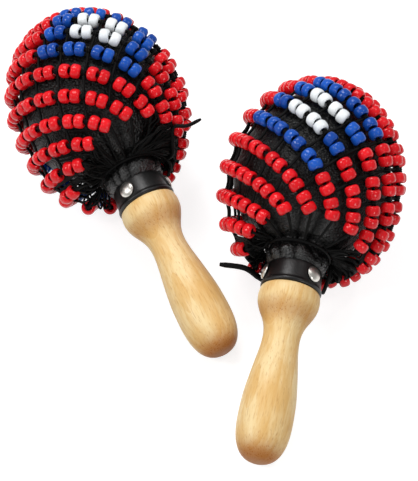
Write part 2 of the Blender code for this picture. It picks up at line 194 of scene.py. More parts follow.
@dataclass(frozen=True)
class LacqueredMaple(Finish):
    """Pale maple, turned on a lathe, given a stain and lacquered.

    To the eye: honey-coloured and satin, with fine lengthwise streaks and pores, faint growth rings,
    soft light and dark patches, and a browner end, where the turning cuts across the grain and the
    stain soaks in; the faces turned to the handle's end are also darkened with painted shade.
    """

    name: str = "lacquered_maple"
    pale: str = "#F4DAA5"
    honey: str = "#E3B671"
    stain_and_shade: str = "#A85A10"
    streak_mm: float = 1.9
    streak_stretch: float = 9.0
    streak_share: float = 0.6
    streak_relief_mm: float = 0.12
    patch_mm: float = 14.0
    patch_stretch: float = 2.4
    pore_mm: float = 0.7
    ring_mm: float = 8.5
    ring_squeeze: float = 0.3
    pith_mm: tuple[float, float] = (31.0, 22.0)
    pith_tilt_deg: float = 20.0

    def paint(self, tree: NodeTree, shader: Node) -> None:
        """Mixes streaks, patches, rings, pores and end-grain stain, under a satin lacquer.

        On the faces turned to the handle's end, the stain is partly painted shade.

        Args:
            tree: The material's node tree.
            shader: Its surface shader.
        """
        place = self.place(tree)
        grain = add_node(tree, "Mapping", {"Scale": (1, 1, 1 / self.streak_stretch)}, {"Vector": place})
        broad = add_node(tree, "Mapping", {"Scale": (1, 1, 1 / self.patch_stretch)}, {"Vector": place})
        slant = {
            "Location": (self.pith_mm[0] * MM, self.pith_mm[1] * MM, 0),
            "Rotation": (math.radians(self.pith_tilt_deg), 0, 0),
            "Scale": (1, 1, self.ring_squeeze),
        }
        pith = add_node(tree, "Mapping", slant, {"Vector": place})
        fine = {"Scale": per_metre(self.streak_mm), "Detail": 5, "Roughness": 0.65, "Distortion": 0.3}
        streaks = add_node(tree, "TexNoise", fine, {"Vector": grain})
        soft = {"Scale": per_metre(self.patch_mm), "Detail": 2, "Roughness": 0.5}
        patches = add_node(tree, "TexNoise", soft, {"Vector": broad})
        # Maple's pores are finer than a pixel, so they are drawn as ticks near a millimetre wide.
        pore = {"Scale": per_metre(self.pore_mm), "Detail": 2}
        pores = add_node(tree, "TexNoise", pore, {"Vector": grain})
        # A wave texture repeats every pi / 10 of its scaled distance.
        wave = {"Scale": per_metre(self.ring_mm) * math.pi / 10, "Distortion": 1.6}
        wave |= {"Detail": 2, "Detail Scale": 0.6}
        sawn = {"wave_type": "RINGS", "rings_direction": "Z", "wave_profile": "SAW"}
        rings = add_node(tree, "TexWave", wave, {"Vector": pith}, out="Fac", **sawn)
        ring_edge = {"From Min": 0.6, "From Max": 1.0, "To Max": 0.14}
        late = add_node(tree, "MapRange", ring_edge, {"Value": rings}, **SMOOTH)
        added = {0: streaks, 2: patches}
        both = add_node(tree, "Math", {1: self.streak_share}, added, operation="MULTIPLY_ADD")
        ringed = add_node(tree, "Math", {}, {0: both, 1: late}, operation="ADD")
        cloud = {"From Min": 0.54, "From Max": 1.04}
        clouded = add_node(tree, "MapRange", cloud, {"Value": ringed}, **SMOOTH)
        tints = {FIRST: srgb(self.pale), SECOND: srgb(self.honey)}
        wood = add_node(tree, "Mix", tints, {SHARE: clouded}, **COLOURS)
        # Faces turned to the handle's end take the stain colour: partly end grain, partly painted shade.
        end_grain_and_shade = {"From Min": 0.12, "From Max": 0.82, "To Max": 0.78}
        across = add_node(tree, "MapRange", end_grain_and_shade, {"Value": self.tone(tree)}, **SMOOTH)
        tick = {"From Min": 0.57, "From Max": 0.76, "To Max": 0.4}
        ticks = add_node(tree, "MapRange", tick, {"Value": pores})
        stain_and_shade_share = add_node(tree, "Math", {}, {0: across, 1: ticks}, operation="ADD")
        stain = {SECOND: srgb(self.stain_and_shade)}
        colour = add_node(tree, "Mix", stain, {SHARE: stain_and_shade_share, FIRST: wood}, **COLOURS)
        gloss = add_node(tree, "MapRange", {"To Min": 0.34, "To Max": 0.52}, {"Value": streaks})
        ridge = {"Strength": 0.1, "Distance": self.streak_relief_mm * MM}
        relief = add_node(tree, "Bump", ridge, {"Height": streaks})
        lacquer = {"Specular IOR Level": 0.14, "Coat Weight": 0.05, "Coat Roughness": 0.2}
        fill(tree, shader, lacquer, {"Base Color": colour, "Roughness": gloss, "Normal": relief})


@dataclass(frozen=True)
class DyedHide(Finish):
    """Hide dyed black: rawhide stretched wet over a form, or soft band leather.

    To the eye: near black with a dull sheen, cloudy from the dye, with a pebbled grain that is rubbed
    grey where hands and cords rub it and, on the rawhide, wrinkles that run down to the neck. On the
    rawhide the same grey is also painted highlight on the tops of the folds at the neck, with painted
    shade in the folds between.
    """

    dark: str = "#060606"
    wear_and_highlight: str = "#20201E"
    roughness: tuple[float, float] = (0.24, 0.52)
    specular: tuple[float, float] = (0.042, 0.798)
    cloud_mm: float = 9.0
    grain_mm: float = 1.5
    grain_depth_mm: float = 0.55
    wrinkle_mm: float = 4.2
    wrinkle_depth_mm: float = 0.8
    wrinkle_squeeze: float = 0.3

    def paint(self, tree: NodeTree, shader: Node) -> None:
        """Mixes dye clouds and rubbed grey, partly a painted highlight, and raises pebbles and wrinkles.

        Args:
            tree: The material's node tree.
            shader: Its surface shader.
        """
        place = self.place(tree)
        down = add_node(tree, "Mapping", {"Scale": (1, 1, self.wrinkle_squeeze)}, {"Vector": place})
        cloud = {"Scale": per_metre(self.cloud_mm), "Detail": 5, "Roughness": 0.65}
        clouds = add_node(tree, "TexNoise", cloud, {"Vector": place})
        # Hide grain is under half a millimetre, so its pebbles are drawn two or three times as wide.
        pebble = {"Scale": per_metre(self.grain_mm), "Randomness": 1.0}
        pebbles = add_node(tree, "TexVoronoi", pebble, {"Vector": place})
        fold = {"Scale": per_metre(self.wrinkle_mm), "Detail": 4, "Roughness": 0.6, "Distortion": 0.6}
        wrinkles = add_node(tree, "TexNoise", fold, {"Vector": down})
        # The tone greys the rubbed pebble tops. On the rawhide it also paints highlight on the fold tops
        # and shade in the folds between.
        wear_and_highlight = self.tone(tree)
        faded = add_node(tree, "MapRange", {"From Min": 0.38, "From Max": 0.66}, {"Value": clouds})
        tops = add_node(tree, "MapRange", {"From Min": 0.55, "From Max": 0.15}, {"Value": pebbles})
        wear_and_light_share = add_node(tree, "MapRange", {"To Min": 0.2, "To Max": 2.2}, {"Value": wear_and_highlight})
        pebbled = add_node(tree, "Math", {}, {0: faded, 1: tops}, operation="MULTIPLY")
        rubbed = add_node(tree, "Math", {}, {0: pebbled, 1: wear_and_light_share}, operation="MULTIPLY")
        tints = {FIRST: srgb(self.dark), SECOND: srgb(self.wear_and_highlight)}
        colour = add_node(tree, "Mix", tints, {SHARE: rubbed}, **COLOURS)
        sheen = {"To Min": self.specular[0], "To Max": self.specular[1]}
        shine = add_node(tree, "MapRange", sheen, {"Value": wear_and_highlight})
        matt = {"To Min": self.roughness[0], "To Max": self.roughness[1]}
        dull = add_node(tree, "MapRange", matt, {"Value": clouds})
        rise = {"Strength": 1.0, "Distance": self.grain_depth_mm * MM}
        grain = add_node(tree, "Bump", rise, {"Height": pebbles}, invert=True)
        crease = {"Strength": 0.8, "Distance": self.wrinkle_depth_mm * MM}
        creased = add_node(tree, "Bump", crease, {"Height": wrinkles, "Normal": grain})
        surface = {"Base Color": colour, "Roughness": dull, "Normal": creased}
        fill(tree, shader, {}, surface | {"Specular IOR Level": shine})


@dataclass(frozen=True)
class NickelledSteel(Finish):
    """Stamped steel tack heads, plated with bright nickel.

    To the eye: a mirror a little warmer than chrome, softened by fine handling scratches.
    """

    name: str = "nickelled_steel"
    metal: str = "#D6D3CC"
    tarnished: str = "#B5B0A6"
    scratch_mm: float = 0.6
    tarnish_mm: float = 2.5

    def paint(self, tree: NodeTree, shader: Node) -> None:
        """Mixes tarnish and scratches into the plating.

        Args:
            tree: The material's node tree.
            shader: Its surface shader.
        """
        place = self.place(tree)
        spot = {"Scale": per_metre(self.tarnish_mm), "Detail": 3}
        tarnish = add_node(tree, "TexNoise", spot, {"Vector": place})
        # Handling scratches are hair-fine, so they are drawn over half a millimetre wide.
        hair = {"Scale": per_metre(self.scratch_mm), "Detail": 4}
        scratches = add_node(tree, "TexNoise", hair, {"Vector": place})
        dimmed = {"From Min": 0.5, "From Max": 0.75, "To Max": 0.6}
        spotted = add_node(tree, "MapRange", dimmed, {"Value": tarnish})
        tints = {FIRST: srgb(self.metal), SECOND: srgb(self.tarnished)}
        colour = add_node(tree, "Mix", tints, {SHARE: spotted}, **COLOURS)
        rubbed = add_node(tree, "MapRange", {"To Min": 0.24, "To Max": 0.42}, {"Value": scratches})
        fill(tree, shader, {"Metallic": 1.0}, {"Base Color": colour, "Roughness": rubbed})


@dataclass(frozen=True)
class WaxedCord(Finish):
    """Twisted cotton cord, dyed black and waxed.

    To the eye: black and nearly matt, with uneven fibres and a faint wax bloom.
    """

    name: str = "waxed_black_cord"
    dyed: str = "#050505"
    bloom: str = "#101010"
    fibre_mm: float = 0.5
    fibre_relief_mm: float = 0.12
    roughness: float = 0.6
    specular: float = 0.11

    def paint(self, tree: NodeTree, shader: Node) -> None:
        """Mixes the wax bloom and raises the fibres.

        Args:
            tree: The material's node tree.
            shader: Its surface shader.
        """
        # The fibres are hair-fine, so they are drawn as bundles half a millimetre wide.
        bundle = {"Scale": per_metre(self.fibre_mm), "Detail": 3, "Roughness": 0.7}
        fibres = add_node(tree, "TexNoise", bundle, {"Vector": self.place(tree)})
        tints = {FIRST: srgb(self.dyed), SECOND: srgb(self.bloom)}
        colour = add_node(tree, "Mix", tints, {SHARE: fibres}, **COLOURS)
        ridge = {"Strength": 0.5, "Distance": self.fibre_relief_mm * MM}
        relief = add_node(tree, "Bump", ridge, {"Height": fibres})
        wax = {"Roughness": self.roughness, "Specular IOR Level": self.specular}
        fill(tree, shader, wax, {"Base Color": colour, "Normal": relief})


@dataclass(frozen=True)
class MouldedBead(Finish):
    """Injection-moulded polystyrene beads, tumbled to a gloss.

    To the eye: clean saturated colour with small highlights, slightly uneven where the plastic sank as
    it cooled, and each bead a touch lighter or darker than the next.
    """

    light: str
    deep: str
    roughness: tuple[float, float] = (0.07, 0.25)
    sink_mm: float = 2.2
    sink_depth_mm: float = 0.25
    ior: float = 1.5
    sheen: float = 0.32

    def paint(self, tree: NodeTree, shader: Node) -> None:
        """Tints each bead by its own shade, and gives the gloss small dents.

        Args:
            tree: The material's node tree.
            shader: Its surface shader.
        """
        sink = {"Scale": per_metre(self.sink_mm), "Detail": 2}
        sinks = add_node(tree, "TexNoise", sink, {"Vector": self.place(tree)})
        tints = {FIRST: srgb(self.light), SECOND: srgb(self.deep)}
        colour = add_node(tree, "Mix", tints, {SHARE: self.tone(tree)}, **COLOURS)
        polish = {"To Min": self.roughness[0], "To Max": self.roughness[1]}
        gloss = add_node(tree, "MapRange", polish, {"Value": sinks})
        dent = {"Strength": 0.35, "Distance": self.sink_depth_mm * MM}
        relief = add_node(tree, "Bump", dent, {"Height": sinks})
        plastic = {"IOR": self.ior, "Specular IOR Level": self.sheen}
        fill(tree, shader, plastic, {"Base Color": colour, "Roughness": gloss, "Normal": relief})


@dataclass(frozen=True)
class DriedSeed(Finish):
    """Dried seed husks.

    To the eye: dull brown and mottled, with a faint skin sheen.
    """

    name: str = "dried_seed"
    husk: str = "#7A4A22"
    mottle: str = "#4A2A12"
    mottle_mm: float = 1.2
    roughness: float = 0.6

    def paint(self, tree: NodeTree, shader: Node) -> None:
        """Mottles the husk.

        Args:
            tree: The material's node tree.
            shader: Its surface shader.
        """
        place = add_node(tree, "TexCoord", out="Object")
        blotch = {"Scale": per_metre(self.mottle_mm), "Detail": 4}
        mottle = add_node(tree, "TexNoise", blotch, {"Vector": place})
        tints = {FIRST: srgb(self.husk), SECOND: srgb(self.mottle)}
        colour = add_node(tree, "Mix", tints, {SHARE: mottle}, **COLOURS)
        fill(tree, shader, {"Roughness": self.roughness}, {"Base Color": colour})


@dataclass(frozen=True)
class PaperSweep(Finish):
    """White background paper, uncoated.

    To the eye: plain white, matt, with only the maracas' soft shadow on it.
    """

    name: str = "white_paper"
    paper: str = "#B0B0B0"
    light: str = "#FFFFFF"
    glow: float = 0.82
    roughness: float = 0.9

    def paint(self, tree: NodeTree, shader: Node) -> None:
        """Gives matt paper that shows white to the camera and in reflections.

        Args:
            tree: The material's node tree.
            shader: Its surface shader.
        """
        seen = add_node(tree, "LightPath", out="Is Camera Ray")
        for ray in ("Is Glossy Ray", "Is Transmission Ray"):
            path = add_node(tree, "LightPath", out=ray)
            seen = add_node(tree, "Math", {}, {0: seen, 1: path}, operation="MAXIMUM")
        glow = add_node(tree, "MapRange", {"To Max": self.glow}, {"Value": seen})
        matt = {"Base Color": srgb(self.paper), "Roughness": self.roughness, "Specular IOR Level": 0.0}
        fill(tree, shader, matt | {"Emission Color": srgb(self.light)}, {"Emission Strength": glow})


MAPLE = LacqueredMaple()
RAWHIDE = DyedHide("black_rawhide")
BAND_LEATHER = DyedHide(
    "black_band_leather", wear_and_highlight="#161615", grain_mm=0.9, grain_depth_mm=0.04, wrinkle_depth_mm=0.08
)
STEEL = NickelledSteel()
CORD = WaxedCord()
BEADS = {
    BeadColour.RED: MouldedBead("red_polystyrene", "#F01A24", "#D8101A"),
    BeadColour.BLUE: MouldedBead("blue_polystyrene", "#1B5AC0", "#13459E"),
    BeadColour.WHITE: MouldedBead("white_polystyrene", "#F8FBFC", "#ECF1F4"),
}
SEED = DriedSeed()
PAPER = PaperSweep()


# Mesh making

# A radius below this is a point on the axis.
ON_AXIS = 1e-6
# A hair's breadth: a step too small to see, or the slack in a comparison of radii.
HAIR = 0.01
# A way that no cord here runs, from which a tube's first section is turned.
FIRST_ACROSS = Vector((0.31, 0.53, 0.79))


def round_axis(radius: float, angle: float, z: float) -> Vector:
    """Returns the local point at a distance from the axis, an angle from the upper side and a height."""
    return Vector((radius * math.sin(angle), -radius * math.cos(angle), z))


def angle_of(point: Vector) -> float:
    """Returns a local point's angle round the axis, from the upper side."""
    return math.atan2(point.x, -point.y)


def spoke(across: Vector, up: Vector, angle: float) -> Vector:
    """Returns the way at an angle from the first towards the second of two ways square to each other."""
    return across * math.cos(angle) + up * math.sin(angle)


def drawn_radius(full: float, angle: float, draw: float) -> float:
    """Returns the radius of a ball drawn in towards its neck, at an angle from the neck."""
    return full * math.sin(angle) * (1 - draw * max(0.0, math.cos(angle)) ** 2)


def smooth_line(points: Sequence[Vector], spacing: float) -> list[Vector]:
    """Runs a smooth curve through points.

    Args:
        points: The points that the curve passes.
        spacing: About how far apart the curve's own points are.

    Returns:
        The curve's points.
    """
    held = [2 * points[0] - points[1], *points, 2 * points[-1] - points[-2]]
    line = [points[0].copy()]
    for before, start, end, after in zip(held, held[1:], held[2:], held[3:]):
        count = max(1, round((end - start).length / spacing))
        for n in range(1, count + 1):
            t = n / count
            bend = (2 * before - 5 * start + 4 * end - after) * t**2
            twist = (3 * start - before - 3 * end + after) * t**3
            line.append(0.5 * (2 * start + (end - before) * t + bend + twist))
    return line


def smooth_profile(points: Sequence[tuple[float, float]], spacing: float) -> Profile:
    """Returns the (radius, z) points of a smooth outline through the given ones."""
    return [(p.x, p.z) for p in smooth_line([Vector((r, 0, z)) for r, z in points], spacing)]


def place_in_scene(name: str, data: bpy.types.ID) -> Object:
    """Makes an object of a mesh, a lamp or a camera.

    Args:
        name: The object's name.
        data: What it shows.

    Returns:
        The new object, in the scene.
    """
    made = bpy.data.objects.new(name, data)
    bpy.context.scene.collection.objects.link(made)
    return made


@dataclass
class Draft:
    """A mesh in the making, in millimetres about a maraca's own axis."""

    points: list[Vector] = field(default_factory=list)
    tones: list[float] = field(default_factory=list)
    faces: list[tuple[int, ...]] = field(default_factory=list)
    finishes: list[int] = field(default_factory=list)

    def loft(
        self,
        rings: Sequence[Ring],
        finish: int = 0,
        tones: Sequence[float] = (),
        closed: bool = False,
        capped: bool = True,
    ) -> None:
        """Joins rings of points into a skin.

        Args:
            rings: Rings with equal counts of points, or of one point where the skin closes.
            finish: The material slot of the new faces.
            tones: The tone of each ring, from 0 to 1.
            closed: Whether the last ring joins the first.
            capped: Whether open ends get a flat face.
        """
        starts = []
        before = len(self.faces)
        for n, ring in enumerate(rings):
            starts.append(len(self.points))
            self.points.extend(ring)
            self.tones.extend([tones[n] if tones else PLAIN_TONE] * len(ring))
        pairs = list(zip(range(len(rings)), range(1, len(rings))))
        if closed:
            pairs.append((len(rings) - 1, 0))
        for a, b in pairs:
            self.join(starts[a], len(rings[a]), starts[b], len(rings[b]))
        if capped and not closed:
            for n, turned in ((0, True), (len(rings) - 1, False)):
                if len(rings[n]) > 1:
                    cap = [starts[n] + k for k in range(len(rings[n]))]
                    self.faces.append(tuple(reversed(cap) if turned else cap))
        self.finishes.extend([finish] * (len(self.faces) - before))

    def join(self, a: int, count_a: int, b: int, count_b: int) -> None:
        """Adds the faces between two rings.

        Args:
            a: The first ring's first point.
            count_a: How many points it has.
            b: The second ring's first point.
            count_b: How many points it has.
        """
        count = max(count_a, count_b)
        for k in range(count):
            n = (k + 1) % count
            if count_a == 1:
                self.faces.append((a, b + n, b + k))
            elif count_b == 1:
                self.faces.append((a + k, a + n, b))
            else:
                self.faces.append((a + k, a + n, b + n, b + k))

    def revolve(
        self,
        profile: Profile,
        steps: int,
        shape: Callable[[float, float, float], float] | None = None,
        place: Matrix | None = None,
        ring: bool = False,
        tones: Sequence[float] = (),
    ) -> None:
        """Turns an outline round local Z.

        Args:
            profile: (radius, z) from the top to the bottom along the outside.
            steps: How many steps a turn has.
            shape: Changes a radius, given it, the angle and z.
            place: Where the turned piece sits.
            ring: Whether the outline closes on itself and clears the axis.
            tones: The tone at each point of the outline.
        """
        rings = []
        for radius, z in profile:
            if radius < ON_AXIS:
                made = [Vector((0, 0, z))]
            else:
                made = []
                for n in range(steps):
                    angle = TURN * n / steps
                    made.append(round_axis(shape(radius, angle, z) if shape else radius, angle, z))
            rings.append([place @ p for p in made] if place else made)
        self.loft([list(reversed(r)) for r in rings], tones=tones, closed=ring, capped=False)

    def tube(
        self, line: Sequence[Vector], radii: Sequence[float], sides: int, closed: bool = False
    ) -> None:
        """Sweeps a round section along a line, without twist.

        Args:
            line: The middle line.
            radii: The radius at each of its points.
            sides: How many sides the section has.
            closed: Whether the line closes on itself.
        """
        count = len(line)
        rings = []
        across = FIRST_ACROSS
        for n, (point, radius) in enumerate(zip(line, radii)):
            ahead = line[(n + 1) % count] if closed or n + 1 < count else point
            behind = line[n - 1] if closed or n > 0 else point
            along = (ahead - behind).normalized()
            across = (across - along * across.dot(along)).normalized()
            up = along.cross(across)
            rings.append([point + radius * spoke(across, up, TURN * k / sides) for k in range(sides)])
        self.loft(rings, closed=closed)

    def to_object(self, name: str, finishes: Sequence[Finish], place: Matrix) -> Object:
        """Makes the object, shaded smooth.

        Args:
            name: The piece's name.
            finishes: The finishes of its material slots.
            place: The maraca's own frame.

        Returns:
            The new object, in the scene.
        """
        data = bpy.data.meshes.new(name)
        own = [p * MM for p in self.points]
        data.from_pydata([place @ p for p in own], [], self.faces)
        for finish in finishes:
            data.materials.append(finish.material())
        data.polygons.foreach_set("material_index", self.finishes)
        data.polygons.foreach_set("use_smooth", [True] * len(self.faces))
        places = data.attributes.new(OWN_PLACE, "FLOAT_VECTOR", "POINT")
        places.data.foreach_set("vector", [c for p in own for c in p])
        tones = data.attributes.new(TONE, "FLOAT", "POINT")
        tones.data.foreach_set("value", self.tones)
        data.update()
        return place_in_scene(name, data)


@dataclass(frozen=True)
class Lie:
    """Where one maraca lies in the frame, and how pieces are put on it."""

    side: Side

    def matrix(self) -> Matrix:
        """Works out the maraca's own frame, from the middle and the axis of its net's joint.

        Returns:
            The frame, in metres.
        """
        joint = next(j for j in frame["joints"] if j["name"] == f"{self.side.value}_net_turn")
        along = Vector(joint["axis"]).normalized()
        across = along.cross(Vector((0, 0, 1))).normalized()
        down = along.cross(across)
        turn = Matrix((across, down, along)).transposed()
        return Matrix.Translation(joint["pos_m"]) @ turn.to_4x4()

    def put(
        self,
        piece: str,
        draft: Draft,
        body: str,
        slot: str,
        finishes: Sequence[Finish],
        nodes: Sequence[str] = (),
    ) -> Object:
        """Puts a finished piece on the maraca.

        Args:
            piece: The piece's name without the side.
            draft: Its mesh.
            body: The body that it rides on, without the side.
            slot: The record's material slot; not used.
            finishes: Its finishes.
            nodes: The CAD nodes that it stands for, without the side.

        Returns:
            The piece.
        """
        made = draft.to_object(f"{self.side.value}_{piece}", finishes, self.matrix())
        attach(made, f"{self.side.value}_{body}")
        if nodes:
            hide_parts(*(f"{self.side.value}_{node}" for node in nodes))
        LOG.info("%s: %d faces", made.name, len(draft.faces))
        return made


# Studio


@dataclass(frozen=True)
class Softbox:
    """A soft lamp: where it hangs, its size in metres and its power in watts."""

    name: str
    place: tuple[float, float, float]
    size: float
    power: float


@dataclass
class Studio:
    """The white paper, the soft lamps and the camera, in metres.

    The two spots are small, and give the beads their highlights.
    """

    target: tuple[float, float, float] = (0.00475, 0.0009, 0.030)
    elevation_deg: float = 48.95
    distance: float = 1.2
    lens_mm: float = 146.78
    sensor_mm: float = 36.0
    paper_half_width: float = 6.0
    ambient: float = 0.38
    room: str = "#FFFFFF"
    lamps: tuple[Softbox, ...] = (
        Softbox("overhead_softbox", (-0.25, 0.42, 1.15), 0.55, 7.2),
        Softbox("left_softbox", (-0.95, -0.25, 0.75), 0.26, 3.6),
        Softbox("front_softbox", (0.6, -1.1, 0.55), 0.26, 3.3),
        Softbox("left_spot", (-0.45, -0.55, 1.0), 0.09, 1.0),
        Softbox("right_spot", (0.55, 0.05, 1.0), 0.09, 1.0),
    )

    def build(self) -> None:
        """Builds the camera, the light and the paper."""
        bpy.context.scene.view_settings.view_transform = "Standard"
        self.hang_camera()
        self.light_room()
        for lamp in self.lamps:
            self.hang_lamp(lamp)
        self.lay_paper()

    def hang_camera(self) -> None:
        """Hangs the camera in front of the maracas, looking down at them."""
        data = bpy.data.cameras.new("camera")
        data.sensor_fit = "VERTICAL"
        data.sensor_width = self.sensor_mm
        data.sensor_height = self.sensor_mm
        data.lens = self.lens_mm
        camera = place_in_scene("camera", data)
        tilt = math.radians(self.elevation_deg)
        back = Vector((0, -math.cos(tilt), math.sin(tilt)))
        camera.location = Vector(self.target) + back * self.distance
        camera.rotation_euler = (math.pi / 2 - tilt, 0, 0)
        bpy.context.scene.camera = camera
        LOG.info("camera: %.2f m away, %.1f degrees down", self.distance, self.elevation_deg)

    def light_room(self) -> None:
        """Lights the room evenly."""
        world = bpy.data.worlds.new("white_room")
        world.use_nodes = True
        bpy.context.scene.world = world
        even = {"Color": srgb(self.room), "Strength": self.ambient}
        fill(world.node_tree, world.node_tree.nodes["Background"], even, {})

    def hang_lamp(self, lamp: Softbox) -> None:
        """Hangs one lamp, turned towards the maracas.

        Args:
            lamp: Its place, size and power.
        """
        data = bpy.data.lights.new(lamp.name, "AREA")
        data.shape = "SQUARE"
        data.size = lamp.size
        data.energy = lamp.power
        made = place_in_scene(lamp.name, data)
        made.location = lamp.place
        towards = Vector(self.target) - Vector(lamp.place)
        made.rotation_euler = towards.to_track_quat("-Z", "Y").to_euler()

    def lay_paper(self) -> None:
        """Lays the paper under the maracas."""
        half = self.paper_half_width
        data = bpy.data.meshes.new("paper_sweep")
        corners = [(-half, -half, 0), (half, -half, 0), (half, half, 0), (-half, half, 0)]
        data.from_pydata(corners, [], [(0, 1, 2, 3)])
        data.materials.append(PAPER.material())
        place_in_scene("paper_sweep", data)


# The maraca's sub-assemblies


@dataclass(frozen=True)
class Tie:
    """The draw cord's one turn in the head's crease, from which the net's strings start."""

    turn_deg: float
    radius: float = 19.4
    top_z: float = -46.4
    pitch: float = 2.7
    cord_radius: float = 1.0

    def wound(self, share: float, out: float = 0.0) -> Vector:
        """Returns the point at a share of the turn, a distance out from the cord's middle."""
        angle = math.radians(self.turn_deg) + TURN * share
        return round_axis(self.radius + out, angle, self.top_z - self.pitch * share)

    def beside(self, around: float, out: float) -> Vector:
        """Returns the point at an angle round the axis, a distance out from the cord's middle."""
        return self.wound((around - math.radians(self.turn_deg)) % TURN / TURN, out)


@dataclass(frozen=True)
class Tail:
    """A free end of the draw cord, with its length and its route as (distance from axis, degrees, z)."""

    radius: float
    length: float
    route: tuple[tuple[float, float, float], ...]


@dataclass
class DrawCord:
    """The cord laid in the head's crease, which holds the net's neck end, and its two stiff tails."""

    lie: Lie
    tie: Tie
    tails: tuple[Tail, ...]
    points_per_turn: int = 72
    sides: int = 10
    tail_sides: int = 12
    uneven: float = 0.05
    lumps_per_mm: float = 0.45
    swell: float = 0.12
    tip_shares: tuple[float, ...] = (0.72, 0.84)

    def build(self) -> None:
        """Builds the tails first, then the winding."""
        for number, tail in enumerate(self.tails):
            self.lay_tail(number + 1, tail)
        self.wind()

    def cord_radii(self, line: Sequence[Vector], radius: float) -> list[float]:
        """Returns the cord's radius along a line, a little uneven as a waxed cord is."""
        return [radius * (1 + self.uneven * noise.noise(p * self.lumps_per_mm)) for p in line]

    def lay_tail(self, number: int, tail: Tail) -> None:
        """Args:
            number: The tail's number.
            tail: Its radius, length and route.
        """
        route = [round_axis(out, math.radians(turn), z) for out, turn, z in tail.route]
        line = smooth_line(route, tail.radius)
        swell = [math.sin(math.pi * n / len(line)) * self.swell for n in range(len(line))]
        radii = [r * (1 + s) for r, s in zip(self.cord_radii(line, tail.radius), swell)]
        for back, share in enumerate(self.tip_shares):
            radii[-1 - back] *= share
        draft = Draft()
        draft.tube(line, radii, self.tail_sides)
        made = self.lie.put(
            f"cord_tail_{number}", draft, "bead_net", "cord", [CORD], [f"tie_tail_{number}"]
        )
        place = self.lie.matrix()

    def wind(self) -> None:
        """Winds the cord round the crease, with its two ends laid off straight."""
        line = [self.tie.wound(n / self.points_per_turn) for n in range(self.points_per_turn + 1)]
        for end, before in ((0, 1), (-1, -2)):
            straight = (line[end] - line[before]).normalized() * 2 * self.tie.cord_radius
            line.insert(0 if end == 0 else len(line), line[end] + straight)
        draft = Draft()
        draft.tube(line, self.cord_radii(line, self.tie.cord_radius), self.sides)
        self.lie.put("draw_cord", draft, "bead_net", "cord", [CORD], ["neck_tie"])


@dataclass
class Handle:
    """The turned handle: a tenon, a shoulder, a slim waist and a bulb with a small flat end.

    The stations are (distance from the rim, radius).
    """

    lie: Lie
    rim_z: float = -73.9
    rim_edge: float = 0.5
    tenon_radius: float = 12.9
    tenon_top_z: float = -51.0
    tenon_edge: float = 1.0
    stations: Pairs = (
        (0, 17.9), (4, 18.5), (9, 18.1), (14, 16.2), (19, 13.6), (24, 11.8),
        (30, 11.0), (38, 11.5), (48, 13.05), (58, 14.55), (69, 15.8),
    )
    bulb_distance: float = 80.0
    bulb_radius: float = 16.2
    bulb_end_length: float = 27.8
    bulb_bluntness: float = 2.6
    bulb_end_deg: float = 76.0
    bulb_rows: int = 16
    bulb_easing: float = 1.4
    row_spacing: float = 1.8
    steps: int = 96

    def profile(self) -> Profile:
        """Works out the handle's outline.

        Returns:
            The outline, from the tenon's top to the flat end.
        """
        top = [
            (0.0, self.tenon_top_z),
            (self.tenon_radius - self.tenon_edge, self.tenon_top_z),
            (self.tenon_radius, self.tenon_top_z - self.tenon_edge),
            (self.tenon_radius, self.rim_z - HAIR),
            (self.stations[0][1] - self.rim_edge, self.rim_z),
        ]
        bulb_z = self.rim_z - self.bulb_distance
        stations = [(radius, self.rim_z - distance) for distance, radius in self.stations]
        stations[0] = (stations[0][0], self.rim_z - self.rim_edge)
        turned = smooth_profile([*stations, (self.bulb_radius, bulb_z)], self.row_spacing)
        end = []
        for n in range(1, self.bulb_rows + 1):
            angle = math.radians(self.bulb_end_deg) * (n / self.bulb_rows) ** self.bulb_easing
            out = self.bulb_radius * math.cos(angle) ** (2 / self.bulb_bluntness)
            down = self.bulb_end_length * math.sin(angle) ** (2 / self.bulb_bluntness)
            end.append((out, bulb_z - down))
        return [*top, *turned, *end, (0.0, end[-1][1])]

    def end_grain_and_shade(self, profile: Profile) -> list[float]:
        """Works out where end grain takes the stain, which is partly painted shade on faces turned to
        the end.

        Args:
            profile: The handle's outline.

        Returns:
            How far each point of the outline faces the handle's end, from 0 to 1.
        """
        tones = []
        for n in range(len(profile)):
            above = profile[max(0, n - 1)]
            below = profile[min(len(profile) - 1, n + 1)]
            run = math.hypot(below[0] - above[0], below[1] - above[1])
            tones.append(max(0.0, (above[0] - below[0]) / run))
        return tones

    def build(self) -> None:
        """Turns the handle."""
        draft = Draft()
        profile = self.profile()
        draft.revolve(profile, self.steps, tones=self.end_grain_and_shade(profile))
        self.lie.put("turned_handle", draft, "maraca", "maple", [MAPLE], ["handle"])


@dataclass(frozen=True)
class Folds:
    """A ring of folds: how many, how deep, how far they reach along the axis and stray sideways.

    A fold's bottom lies its depth inside the outline, and its top stands rise times the depth above
    that. A lower roundness gives wider tops with sharper folds between them.
    """

    count: int
    depth: float
    reach: float
    rise: float
    stray: float
    roundness: float

    def top(self, angle: float, stray: float) -> float:
        """Returns how high the skin stands at an angle, from 0 in a fold to 1 on a top."""
        return abs(math.sin(self.count / 2 * (angle + self.stray * stray))) ** self.roundness

    def lift(self, angle: float, stray: float) -> float:
        """Returns how far the folds move the skin out at an angle."""
        return self.depth * (self.rise * self.top(angle, stray) - 1)


